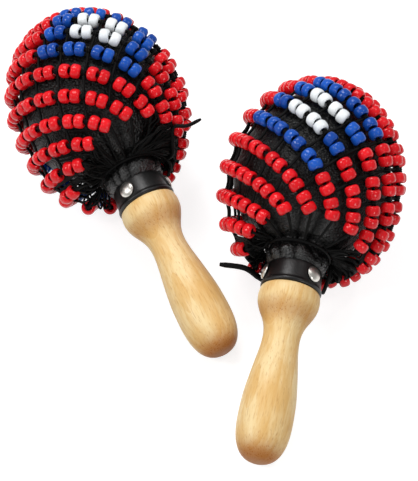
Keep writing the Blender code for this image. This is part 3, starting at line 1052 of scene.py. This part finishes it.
@dataclass
class RawhideHead:
    """The hollow rawhide ball, drawn in at a crease and pleated between the crease and the band."""

    lie: Lie
    seed: int
    radius: float = 47.8
    half_length: float = 58.8
    wall: float = 2.8
    draw: float = 0.44
    ball_end_deg: float = 42.0
    hollow_end_deg: float = 50.0
    bore_top_z: float = -46.5
    crease: Pairs = ((18.0, -45.2), (17.4, -48.6))
    crease_fade: float = 2.0
    skirt: Pairs = ((18.6, -52.6), (17.7, -57.2))
    neck_radius: float = 14.8
    neck_bore: float = 13.2
    neck_top_z: float = -58.9
    neck_foot_z: float = -73.6
    pleats: Folds = Folds(count=10, depth=1.5, reach=5.6, rise=1.5, stray=0.8, roundness=0.6)
    wrinkles: Folds = Folds(count=13, depth=2.4, reach=20.0, rise=1.15, stray=0.5, roundness=0.5)
    stray_radius: float = 1.4
    stray_per_mm: float = 0.02
    stray_seed_step: float = 13.7
    buckle_depth: float = 0.3
    buckle_mm: float = 8.0
    wear_and_light_reach: float = 24.0
    plain_wear: float = 0.25
    pleat_wear_and_light: float = 0.85
    wrinkle_wear_and_light: float = 0.7
    steps: int = 240
    outer_rows: int = 80
    inner_rows: int = 16
    throat_spacing: float = 0.6

    def profile(self) -> Profile:
        """Works out the head's outline.

        Returns:
            The outline, from the outer crown down to the neck's foot and up inside.
        """
        outer = []
        for n in range(self.outer_rows + 1):
            angle = math.radians(180 - (180 - self.ball_end_deg) * n / self.outer_rows)
            ball = drawn_radius(self.radius, angle, self.draw)
            outer.append((ball if n else 0.0, -self.half_length * math.cos(angle)))
        throat = smooth_profile([outer[-1], *self.crease, *self.skirt], self.throat_spacing)[1:]
        neck = [
            (self.neck_radius, self.neck_top_z),
            (self.neck_radius, self.neck_foot_z),
            (self.neck_bore, self.neck_foot_z),
            (self.neck_bore, self.bore_top_z),
        ]
        inner = []
        for n in range(self.inner_rows + 1):
            turned = (180 - self.hollow_end_deg) * n / self.inner_rows
            angle = math.radians(self.hollow_end_deg + turned)
            ball = drawn_radius(self.radius - self.wall, angle, self.draw)
            last = n == self.inner_rows
            inner.append((0.0 if last else ball, -(self.half_length - self.wall) * math.cos(angle)))
        return [*outer, *throat, *neck, *inner]

    def stray(self, angle: float, z: float) -> float:
        """Returns how far the folds stray sideways at an angle and a height."""
        apart = Vector((self.seed * self.stray_seed_step, 0, 0))
        return noise.noise(round_axis(self.stray_radius, angle, z * self.stray_per_mm) + apart)

    def wear_and_fold_light(self, point: Vector) -> float:
        """Works out the skin's tone: a plain rubbed tone away from the neck, and near it painted light.

        The tops of the folds at the neck get painted highlight, and the folds between painted shade.

        Args:
            point: A point of the skin.

        Returns:
            The tone there, from 0 to 1.
        """
        angle = angle_of(point)
        stray = self.stray(angle, point.z)
        above = point.z - self.crease[0][1]
        if above < 0:
            return self.pleat_wear_and_light * self.pleats.top(angle, stray)
        near = max(0.0, 1 - above / self.wear_and_light_reach)
        top = self.wrinkles.top(angle, stray) ** 2
        return self.wrinkle_wear_and_light * near * top + (1 - near) * self.plain_wear

    def pull(self, radius: float, angle: float, z: float) -> float:
        """Pleats, wrinkles and buckles the skin where it is wider than the neck.

        Args:
            radius: The turned outline's radius.
            angle: The angle round the axis.
            z: The height.

        Returns:
            The radius of the pulled skin there.
        """
        if radius < self.neck_radius + HAIR:
            return radius
        stray = self.stray(angle, z)
        middle = abs(z - self.skirt[0][1]) / self.pleats.reach
        pleated = self.pleats.lift(angle, stray) * max(0.0, 1 - middle**2)
        above = max(0.0, z - self.crease[0][1]) / self.wrinkles.reach
        below = max(0.0, self.crease[0][1] - z) / self.crease_fade
        near = max(0.0, 1 - above) ** 2 * max(0.0, 1 - below)
        wrinkled = self.wrinkles.lift(angle, stray) * near
        buckled = self.buckle_depth * noise.noise(round_axis(radius, angle, z) / self.buckle_mm)
        return radius + pleated + wrinkled + buckled

    def build(self) -> None:
        """Builds the hollow skin."""
        draft = Draft()
        draft.revolve(self.profile(), self.steps, self.pull)
        # The tones paint highlight on the fold tops and shade in the folds, over a plain rubbed tone.
        draft.tones = [self.wear_and_fold_light(point) for point in draft.points]
        self.lie.put("gathered_head", draft, "maraca", "rawhide", [RAWHIDE], ["rawhide_head"])


@dataclass
class NeckBand:
    """The leather band that clamps the skin's neck: a wrapped strip with a rolled lip at its foot.

    The strip's end tapers from its edge to nothing over its reach, and its lower corner lifts a little.
    """

    lie: Lie
    seam_top_deg: float
    seam_foot_deg: float
    foot_z: float = -73.6
    height: float = 15.0
    bore: float = 15.3
    top_radius: float = 16.4
    foot_radius: float = 17.6
    edge: float = 0.8
    edge_turns_deg: tuple[float, ...] = (90, 60, 30, 0)
    wall_rows: int = 8
    lip: float = 0.8
    lip_height: float = 3.0
    lip_root: float = 0.4
    lip_turns_deg: tuple[float, ...] = (60, 35, 10, -15, -40, -65, -88)
    strip_thickness: float = 0.9
    strip_reach_deg: float = 34.0
    strip_top_gap: float = 0.5
    strip_foot_gap: float = 0.2
    strip_edge_share: float = 0.55
    strip_edge_rise: float = 6.0
    strip_sunk: float = 0.4
    strip_rows: int = 14
    strip_columns: int = 14
    corner_lift: float = 1.3
    corner_start: float = 0.6
    corner_fade: float = 5.0
    uneven: float = 0.08
    uneven_mm: float = 6.0
    steps: int = 128

    def slope(self) -> float:
        """Returns how much the band narrows per unit of height between its lip and its top edge."""
        return (self.foot_radius - self.top_radius) / (self.height - self.lip_height - 2 * self.edge)

    def wall_radius(self, z: float) -> float:
        """Returns the outer radius at a height, the lip left out."""
        above = z - self.foot_z - self.lip_height - self.edge
        return self.foot_radius - self.slope() * max(0.0, above)

    def profile(self) -> Profile:
        """Works out the band's closed section.

        Returns:
            The section, from its top edge down the outside and up the bore.
        """
        top = self.foot_z + self.height
        section = []
        for turn in map(math.radians, self.edge_turns_deg):
            out = self.top_radius - self.edge * (1 - math.cos(turn))
            section.append((out, top - self.edge * (1 - math.sin(turn))))
        wall_top = section[-1][1]
        wall_foot = self.foot_z + self.lip_height + self.edge
        for n in range(1, self.wall_rows + 1):
            z = wall_top + (wall_foot - wall_top) * n / self.wall_rows
            section.append((self.wall_radius(z), z))
        for turn in map(math.radians, self.lip_turns_deg):
            out = self.foot_radius - self.lip_root + (self.lip + self.lip_root) * math.cos(turn)
            section.append((out, self.foot_z + self.lip_height / 2 * (1 + math.sin(turn))))
        section.append((self.bore, self.foot_z))
        section.append((self.bore, top - self.edge / 2))
        return section

    def rub(self, radius: float, angle: float, z: float) -> float:
        """Makes the leather slightly uneven, but not the bore.

        Args:
            radius: The turned section's radius.
            angle: The angle round the axis.
            z: The height.

        Returns:
            The radius of the leather there.
        """
        if radius <= self.bore + HAIR:
            return radius
        return radius + self.uneven * noise.noise(round_axis(radius, angle, z) / self.uneven_mm)

    def wrapped_end(self) -> list[Ring]:
        """Works out the strip's end, which lies over the band and stops at a slanting edge.

        Returns:
            Its rings, from top to foot.
        """
        rings = []
        drop = self.height - self.lip_height - self.strip_foot_gap
        for row in range(self.strip_rows + 1):
            t = row / self.strip_rows
            z = self.foot_z + self.height - self.strip_top_gap - t * drop
            seam = self.seam_top_deg + t * (self.seam_foot_deg - self.seam_top_deg)
            wall = self.wall_radius(z)
            outer, inner = [], []
            for column in range(self.strip_columns + 1):
                s = column / self.strip_columns
                angle = math.radians(seam + s * self.strip_reach_deg)
                edge = min(1.0, self.strip_edge_rise * s + self.strip_edge_share)
                thick = self.strip_thickness * edge * (1 - s)
                corner = max(0.0, t - self.corner_start) * max(0.0, 1 - self.corner_fade * s)
                lift = self.corner_lift * corner
                outer.append(round_axis(wall + thick + lift, angle, z))
                inner.append(round_axis(wall - self.strip_sunk + lift, angle, z))
            rings.append(outer + list(reversed(inner)))
        return rings

    def build(self) -> None:
        """Builds the band and the strip's end on it."""
        draft = Draft()
        draft.revolve(self.profile(), self.steps, self.rub, ring=True)
        draft.loft(self.wrapped_end())
        self.lie.put("wrapped_band", draft, "maraca", "band", [BAND_LEATHER], ["neck_band"])


@dataclass
class Tacks:
    """Three domed tacks, driven through the band and the neck into the tenon.

    The rim's points are (inwards, down) from the dome's edge. The part sets its tacks out from the
    handle's rim, which lies a gap below the band's foot.
    """

    lie: Lie
    band: NeckBand
    turn_deg: float
    count: int = 3
    radius: float = 4.9
    crown: float = 1.7
    cup: float = 0.2
    rim: Pairs = ((0.12, 0.13), (0.3, 0.1))
    hollow_share: float = 0.6
    hollow_height: float = 0.3
    shank: float = 0.8
    shank_top: float = 0.5
    length: float = 7.0
    z: float = -65.0
    seat: float = 0.6
    rim_gap: float = 0.3
    steps: int = 48
    dome_rows: int = 12

    def profile(self) -> Profile:
        """Works out a tack's outline.

        Returns:
            The outline, from its crown, round its rolled rim, to its point.
        """
        dome = []
        for n in range(self.dome_rows + 1):
            angle = math.pi / 2 * n / self.dome_rows
            rise = (self.crown + self.cup) * math.cos(angle) - self.cup
            dome.append((self.radius * math.sin(angle), rise))
        return [
            *dome,
            *((self.radius - inwards, -self.cup - down) for inwards, down in self.rim),
            (self.radius * self.hollow_share, self.hollow_height),
            (self.shank, self.shank_top),
            (self.shank, -self.length),
            (0.0, -self.length - self.shank),
        ]

    def build(self) -> None:
        """Builds the tacks, square to the band's wall."""
        wall = self.band.wall_radius(self.z + self.rim_gap)
        for number in range(self.count):
            around = math.radians(self.turn_deg) + TURN * number / self.count
            seat = round_axis(wall + self.seat, around, self.z)
            outward = round_axis(1, around, self.band.slope())
            turn = outward.to_track_quat("Z", "Y").to_matrix().to_4x4()
            draft = Draft()
            draft.revolve(self.profile(), self.steps, place=Matrix.Translation(seat) @ turn)
            name = f"tack_{number + 1}"
            self.lie.put(f"domed_{name}", draft, "maraca", "tack_steel", [STEEL], [name])


@dataclass(frozen=True)
class Bead:
    """A barrel-shaped bead: an outline turned round its cord hole.

    The barrel's points are (share of the half length, how far inside the full radius), and the mouth
    is (share of the half length, how far outside the hole).
    """

    radius: float = 4.45
    half_length: float = 3.0
    barrel: Pairs = ((0.42, 0.07), (0.7, 0.3), (0.89, 0.75), (0.985, 1.3))
    end_sink: float = 0.2
    mouth: tuple[float, float] = (0.93, 0.3)
    hole_radius: float = 2.1
    hole_share: float = 0.5
    steps: int = 20

    def section(self) -> Profile:
        """Works out the bead's closed section.

        Returns:
            Its points, as (distance along the hole, radius).
        """
        half = self.half_length
        side = [(share * half, self.radius - inside) for share, inside in self.barrel]
        side.append((half, 0.5 * (self.radius + self.hole_radius) - self.end_sink))
        side.append((self.mouth[0] * half, self.hole_radius + self.mouth[1]))
        side.append((self.hole_share * half, self.hole_radius))
        return [(0.0, self.radius), *side, *((-x, r) for x, r in reversed(side))]

    def add(self, draft: Draft, middle: Vector, along: Vector, colour: BeadColour, tone: float) -> None:
        """Adds the bead to a string's mesh.

        Args:
            draft: The string's mesh.
            middle: The bead's middle.
            along: The way its hole runs.
            colour: Its colour.
            tone: How light or dark it is.
        """
        across = along.orthogonal().normalized()
        up = along.cross(across)
        section = self.section()
        rings = []
        for n in range(self.steps):
            out = spoke(across, up, TURN * n / self.steps)
            rings.append([middle + along * x + out * r for x, r in section])
        draft.loft(rings, finish=colour.value, tones=[tone] * len(rings), closed=True)


@dataclass(frozen=True)
class Diamond:
    """The bead pattern: white diamonds with a blue border, which come back round the red net."""

    period: int = 7
    size: int = 4
    first_row: int = 2

    def colour(self, string: int, row: int) -> BeadColour:
        """Works out a bead's colour: on each string the diamond starts a row further from the neck.

        Args:
            string: The bead's string.
            row: Its row.

        Returns:
            The colour.
        """
        across = (string + 1) % self.period
        down = row - self.first_row - across
        if across >= self.size or not 0 <= down < self.size:
            return BeadColour.RED
        inside = 0 < across < self.size - 1 and 0 < down < self.size - 1
        return BeadColour.WHITE if inside else BeadColour.BLUE


@dataclass(frozen=True)
class Hang:
    """How a net hangs on its head: its turn, its strings' lean per row, its slump and its sway.

    The two draws say how far it is drawn in towards the neck at its left and its right side.
    """

    turn_deg: float
    lean: float
    slump_deg: float
    sway_deg: float
    draws: tuple[float, float]


@dataclass(frozen=True)
class Slack:
    """Slack strands at one side of a net's neck.

    It says where they are, how many a string has at most, how far they sweep and how high they bow.
    """

    middle_deg: float
    strands: int
    sweep_deg: float = 0.0
    lift: float = 1.0


@dataclass
class BeadNet:
    """The bead net: strings of bead pairs, knotted to each other, from the draw cord to the crown.

    Its points are given by row and string, which need not be whole. The knots sit half a row past
    each bead pair, and most slack strands run as a veil to the cross cords between them.
    """

    lie: Lie
    hang: Hang
    tie: Tie
    slack: tuple[Slack, ...]
    seed: int
    bead: Bead = Bead()
    pattern: Diamond = Diamond()
    strings: int = 14
    rows: int = 11
    radius: float = 52.8
    half_length: float = 64.5
    first_row_deg: float = 42.9
    row_step_deg: float = 10.71
    row_spread_deg: float = -0.15
    spread_row: int = 4
    crown_deg: float = 168.0
    crown_steps: int = 6
    crown_grip: float = 0.9
    nudge: float = 0.05
    pair_half_pitch: float = 3.4
    pair_slack: float = 0.12
    fan_deg: float = 9.0
    tilt_deg: float = 8.0
    cord_gap: float = 0.3
    cord_sides: int = 8
    cord_spacing: float = 2.2
    cord_lead: float = 8.32
    cord_row_steps: int = 4
    cord_overrun: int = 2
    cord_start_share: float = 0.55
    cord_taper: float = 40.0
    cross_dip: float = 2.4
    cross_share: float = 0.9
    cross_steps: int = 6
    knot_row: float = 0.5
    knot_radius: float = 1.3
    knot_length: float = 2.8
    knot_cord: float = 0.75
    knot_turns: float = 2.2
    knot_steps: int = 22
    slack_reach_deg: float = 48.0
    strand_radius: float = 0.65
    strand_sides: int = 6
    strand_lead: float = 6.4
    strand_spacing: float = 1.5
    strand_spread: float = 3.0
    strand_stray: float = 0.16
    strand_clear: float = 22.0
    sweep_range: tuple[float, float] = (0.2, 1.2)
    bow_shares: tuple[float, float] = (0.35, 0.7)
    bow_range: tuple[float, float] = (-0.6, 2.0)
    veil_share: float = 0.7
    veil_reach: float = 0.9
    veil_row: float = -0.35

    def surface(self, polar: float, turn: float) -> Vector:
        """Works out a point on the net, which slumps, sways and is drawn in as it hangs.

        Args:
            polar: The angle from the net's neck.
            turn: The angle round the net.

        Returns:
            The local point.
        """
        way = round_axis(math.sin(polar), turn, -math.cos(polar))
        under = min(0.0, math.cos(turn)) * max(0.0, math.cos(polar))
        slump = math.radians(self.hang.slump_deg) * (1 + under)
        sway = math.radians(self.hang.sway_deg)
        way = Matrix.Rotation(sway, 3, "Y") @ Matrix.Rotation(slump, 3, "X") @ way
        from_neck = math.acos(max(-1.0, min(1.0, -way.z)))
        around = angle_of(way)
        draw = self.hang.draws[0 if around < 0 else 1] * (1 - abs(math.cos(around)))
        radius = drawn_radius(self.radius, from_neck, draw)
        return round_axis(radius, around, -self.half_length * math.cos(from_neck))

    def turn(self, row: float, string: float) -> float:
        """Returns a string's angle round the net at a row, as it leans round the head."""
        leaned = (string - self.hang.lean * row) * TURN / self.strings
        return math.radians(self.hang.turn_deg) + leaned

    def point(self, row: float, string: float) -> Vector:
        """Works out where a string passes a row.

        Args:
            row: The row.
            string: The string.

        Returns:
            The local point.
        """
        spread = self.row_spread_deg * (row - self.spread_row) ** 2
        polar = math.radians(self.first_row_deg + self.row_step_deg * row + spread)
        return self.surface(polar, self.turn(row, string))

    def along(self, row: float, string: float) -> Vector:
        """Returns the way a string runs at a row."""
        ahead, behind = row + self.nudge, row - self.nudge
        return (self.point(ahead, string) - self.point(behind, string)).normalized()

    def outward(self, row: float, string: float) -> Vector:
        """Returns the way that points off the net at a row of a string."""
        aside = self.point(row, string + self.nudge) - self.point(row, string - self.nudge)
        return aside.cross(self.along(row, string)).normalized()

    def string_line(self, string: int) -> list[Vector]:
        """Runs one string's cord from the draw cord to the crown.

        Args:
            string: The string's number.

        Returns:
            The cord's middle line.
        """
        cord = self.tie.cord_radius
        first = self.point(0, string) - self.along(0, string) * self.cord_lead
        tie = self.tie.beside(angle_of(first), 2 * cord + self.cord_gap)
        reach = (self.crown_grip * cord + self.cord_gap) / self.radius
        crown = self.surface(math.radians(self.crown_deg) - reach, self.turn(self.rows, string))
        last = self.cord_row_steps * (self.rows - 1) + self.cord_overrun
        steps = [n / self.cord_row_steps for n in range(-self.cord_overrun, last + 1)]
        passed = [self.point(row, string) for row in steps]
        return smooth_line([tie, *passed, crown], self.cord_spacing)

    def slack_strands(self, string: int, slack: Slack) -> int:
        """Counts a string's slack strands at one side: none where the net is taut.

        Args:
            string: The string's number.
            slack: The side's slack.

        Returns:
            How many strands the string has.
        """
        around = math.degrees(angle_of(self.point(0, string)))
        off = abs((around - slack.middle_deg + 180) % 360 - 180) / self.slack_reach_deg
        return round(slack.strands * max(0.0, 1 - off**2))

    def add_strand(self, draft: Draft, string: int, slack: Slack, chance: random.Random) -> None:
        """Adds a slack strand that bows from the draw cord to a cross cord or a string's first bead.

        Args:
            draft: The net cords' mesh.
            string: The string that it holds.
            slack: How it sweeps.
            chance: Where its bow comes from.
        """
        first = self.point(0, string)
        along = self.along(0, string)
        end = first - along * self.strand_lead
        if chance.random() < self.veil_share:
            aside = chance.uniform(-self.veil_reach, self.veil_reach)
            end = self.point(self.veil_row, string + aside)
            first = self.crossing(self.knot_row, string - (aside < 0), aside % 1)
        sweep = math.radians(slack.sweep_deg) * chance.uniform(*self.sweep_range)
        around = angle_of(end) + sweep + chance.gauss(0, self.strand_stray)
        tie = self.tie.beside(around, self.tie.cord_radius + self.strand_radius)
        across = along.cross(self.outward(0, string))
        bowed = [tie]
        for t in self.bow_shares:
            at = tie.lerp(end, t)
            off = Vector((at.x, at.y, 0)).normalized() * (slack.lift + chance.uniform(*self.bow_range))
            at += off + across * chance.gauss(0, self.strand_spread)
            flat = Vector((at.x, at.y, 0))
            bowed.append(at + flat.normalized() * max(0.0, self.strand_clear - flat.length))
        line = smooth_line([*bowed, end, first], self.strand_spacing)
        draft.tube(line, [self.strand_radius] * len(line), self.strand_sides)

    def thread(self, string: int, chance: random.Random) -> Draft:
        """Threads one string's bead pairs.

        Args:
            string: The string's number.
            chance: Where the beads' small differences come from.

        Returns:
            The string's beads as a mesh.
        """
        draft = Draft()
        for row in range(self.rows):
            middle = self.point(row, string)
            along = self.along(row, string)
            outward = self.outward(row, string)
            aside = along.cross(outward)
            colour = self.pattern.colour(string, row)
            for end in (-1, 1):
                fan = math.radians(self.fan_deg + chance.gauss(0, self.tilt_deg / 2))
                swing = math.radians(chance.gauss(0, self.tilt_deg))
                way = along - outward * end * math.tan(fan) + aside * math.tan(swing)
                slack = chance.uniform(-self.pair_slack, self.pair_slack)
                place = middle + along * end * (self.pair_half_pitch + slack)
                self.bead.add(draft, place, way.normalized(), colour, chance.random())
        return draft

    def add_knot(self, draft: Draft, row: float, string: int) -> None:
        """Adds the knot that ties a cross cord to a string.

        Args:
            draft: The net cords' mesh.
            row: The row at which the knot sits.
            string: The string that it sits on.
        """
        middle = self.point(row, string)
        along = self.along(row, string)
        across = self.outward(row, string)
        up = along.cross(across)
        line = []
        for n in range(self.knot_steps + 1):
            t = n / self.knot_steps
            out = spoke(across, up, TURN * self.knot_turns * t)
            line.append(middle + along * (t - 0.5) * self.knot_length + out * self.knot_radius)
        draft.tube(line, [self.knot_cord] * len(line), self.strand_sides)

    def crossing(self, row: float, string: int, share: float) -> Vector:
        """Works out a point of a cross cord, which dips towards the skin between its knots.

        Args:
            row: The row of its first knot.
            string: The first knot's string.
            share: How far along the cord the point is, from 0 to 1.

        Returns:
            The local point.
        """
        passed, at = row + share, string + share
        dip = self.cross_dip * math.sin(math.pi * share)
        return self.point(passed, at) - self.outward(passed, at) * dip

    def add_cross_cord(self, draft: Draft, row: float, string: int) -> None:
        """Adds the cord from one string's knot to the next string's knot.

        Args:
            draft: The net cords' mesh.
            row: The row of the first knot.
            string: The first knot's string.
        """
        shares = [n / self.cross_steps for n in range(self.cross_steps + 1)]
        points = [self.crossing(row, string, share) for share in shares]
        draft.tube(points, [self.tie.cord_radius * self.cross_share] * len(points), self.cord_sides)

    def add_string_cord(self, draft: Draft, string: int) -> None:
        """Adds one string's cord, which is thinner where it starts at the draw cord.

        Args:
            draft: The net cords' mesh.
            string: The string's number.
        """
        line = self.string_line(string)
        radii = []
        for point in line:
            share = self.cord_start_share + (point - line[0]).length / self.cord_taper
            radii.append(self.tie.cord_radius * min(1.0, share))
        draft.tube(line, radii, self.cord_sides)

    def build(self) -> None:
        """Builds the beads string by string, then the cords and knots, then the crown's ring."""
        chance = random.Random(self.seed)
        finishes = [BEADS[colour] for colour in BeadColour]
        for string in range(self.strings):
            name = f"{string + 1:02d}"
            beads = self.thread(string, chance)
            self.lie.put(f"beads_{name}", beads, "bead_net", "beads", finishes, [f"bead_string_{name}"])
        cords = Draft()
        for string in range(self.strings):
            self.add_string_cord(cords, string)
            for slack in self.slack:
                for _ in range(self.slack_strands(string, slack)):
                    self.add_strand(cords, string, slack, chance)
            for row in range(self.rows - 1):
                self.add_knot(cords, row + self.knot_row, string)
                if row < self.rows - 2:
                    self.add_cross_cord(cords, row + self.knot_row, string)
        self.lie.put("net_cords", cords, "bead_net", "cord", [CORD])
        ring = Draft()
        crown = math.radians(self.crown_deg)
        steps = self.crown_steps * self.strings
        line = [self.surface(crown, TURN * n / steps) for n in range(steps)]
        ring.tube(line, [self.tie.cord_radius] * steps, self.cord_sides, closed=True)
        self.lie.put("crown_cord", ring, "bead_net", "cord", [CORD], ["net_crown_ring"])


@dataclass
class Seeds:
    """The seeds inside the head, which keep the part's own solids."""

    side: Side
    count: int = 4

    def build(self) -> None:
        """Gives the seeds their finish."""
        for number in range(self.count):
            node = frame["nodes"][f"{self.side.value}_seed_{number + 1}"]
            node.data.materials.clear()
            node.data.materials.append(SEED.material())
            LOG.info("%s: dressed", node.name)


@dataclass
class Maraca:
    """One maraca: how it is turned and how its net hangs."""

    side: Side
    hang: Hang
    tack_turn_deg: float
    tie_turn_deg: float
    seam_deg: tuple[float, float]
    slack: tuple[Slack, ...]
    seed: int
    tails: tuple[Tail, ...]

    def build(self) -> None:
        """Builds the maraca's sub-assemblies, cords first."""
        lie = Lie(self.side)
        tie = Tie(self.tie_turn_deg)
        DrawCord(lie, tie, self.tails).build()
        Handle(lie).build()
        RawhideHead(lie, self.seed).build()
        band = NeckBand(lie, *self.seam_deg)
        band.build()
        Tacks(lie, band, self.tack_turn_deg).build()
        BeadNet(lie, self.hang, tie, self.slack, self.seed).build()
        Seeds(self.side).build()


PAIR = (
    Maraca(
        side=Side.RIGHT,
        hang=Hang(turn_deg=53.4, lean=0.498, slump_deg=-15.9, sway_deg=-4.1, draws=(-0.15, -0.25)),
        tack_turn_deg=47.0,
        tie_turn_deg=100.0,
        seam_deg=(150.0, 158.0),
        slack=(Slack(-105, 34), Slack(112, 46, sweep_deg=-14, lift=1.5)),
        seed=3,
        tails=(
            Tail(
                radius=1.6,
                length=51.8,
                route=(
                    (21.9, -162, -51.5), (21.6, -161, -57), (22, -152, -61), (23, -138, -62),
                    (24.5, -117, -62), (30.5, -97.5, -60.8), (45, -91, -62.4),
                ),
            ),
            Tail(
                radius=1.1,
                length=30.4,
                route=(
                    (21.9, 112, -50.6), (22.2, 117, -57), (23.2, 127, -61.6), (25.3, 136, -62.4),
                    (27.4, 138.5, -58), (28.9, 138, -50.4),
                ),
            ),
        ),
    ),
    Maraca(
        side=Side.LEFT,
        hang=Hang(turn_deg=73.5, lean=0.583, slump_deg=-21.7, sway_deg=0.0, draws=(-0.5, 0.1)),
        tack_turn_deg=79.0,
        tie_turn_deg=60.0,
        seam_deg=(50.0, 58.0),
        slack=(Slack(75, 44, sweep_deg=-42, lift=2.5), Slack(-84, 26)),
        seed=8,
        tails=(
            Tail(
                radius=1.1,
                length=47.0,
                route=(
                    (21.9, 70, -49.8), (25, 67, -53), (29.5, 58.5, -53.2), (34.5, 49.5, -48.5),
                    (40.8, 45, -43.5), (47.9, 49, -47), (55.3, 56.5, -45.5),
                ),
            ),
            Tail(
                radius=1.1,
                length=35.9,
                route=(
                    (21.9, 110, -50.5), (24, 103, -51.5), (27.4, 89, -46.2), (31.9, 82, -39.2),
                    (36.1, 80.5, -35.6), (40.8, 85.5, -41.3),
                ),
            ),
        ),
    ),
)


def main() -> None:
    """Builds the studio and both maracas, in order."""
    logging.basicConfig(level=logging.INFO, format="%(message)s")
    Studio().build()
    for maraca in PAIR:
        maraca.build()


if __name__ == "__main__":
    main()
